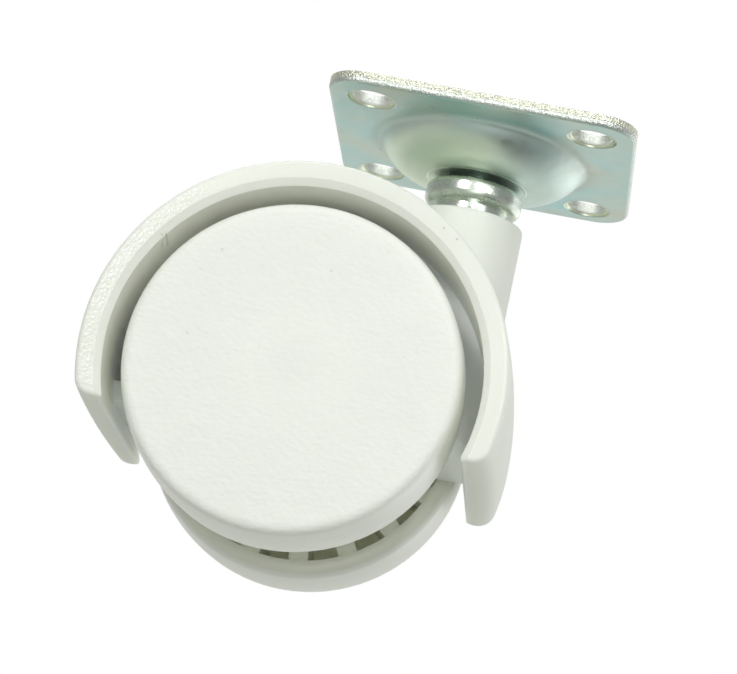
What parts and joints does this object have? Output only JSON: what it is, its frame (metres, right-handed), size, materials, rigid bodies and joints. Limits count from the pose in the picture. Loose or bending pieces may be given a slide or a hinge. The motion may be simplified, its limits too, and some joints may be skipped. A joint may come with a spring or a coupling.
{
  "type": "top plate castor",
  "caption": "Swivel castor with a square screw-on top plate, a pressed swivel cup, a moulded hood and hollow wheels on a through axle, for light furniture.",
  "frame": {"origin": "centre of the top plate's mounting face, on the swivel axis", "axes": "+Z out of the mounting face towards the furniture, Y along the axle, +X from the axle towards the swivel axis"},
  "size_m": [0.0606, 0.038, 0.0579],
  "materials": {
    "zinc_plate": "zinc plated and passivated, slightly iridescent",
    "zinc_pin": "turned, zinc plated, bright",
    "spring_steel": "dark spring steel",
    "axle_steel": "drawn bright steel",
    "hood_plastic": "moulded nylon, fine satin",
    "wheel_plastic": "moulded nylon, grained face and smooth tread"
  },
  "bodies": {
    "plate": {"top_plate": "zinc_plate", "king_pin": "zinc_pin", "snap_ring": "spring_steel"},
    "hood": {"hood": "hood_plastic", "axle": "axle_steel"},
    "wheel_left": {"wheel_left": "wheel_plastic"},
    "wheel_right": {"wheel_right": "wheel_plastic"}
  },
  "joints": [
    {"name": "swivel", "type": "hinge", "parent": "plate", "child": "hood", "pos_m": [0, 0, 0], "axis": [0, 0, 1], "continuous": true},
    {"name": "wheel_left_spin", "type": "hinge", "parent": "hood", "child": "wheel_left", "pos_m": [-0.0155, 0, -0.0375], "axis": [0, 1, 0], "continuous": true},
    {"name": "wheel_right_spin", "type": "hinge", "parent": "hood", "child": "wheel_right", "pos_m": [-0.0155, 0, -0.0375], "axis": [0, 1, 0], "continuous": true}
  ]
}
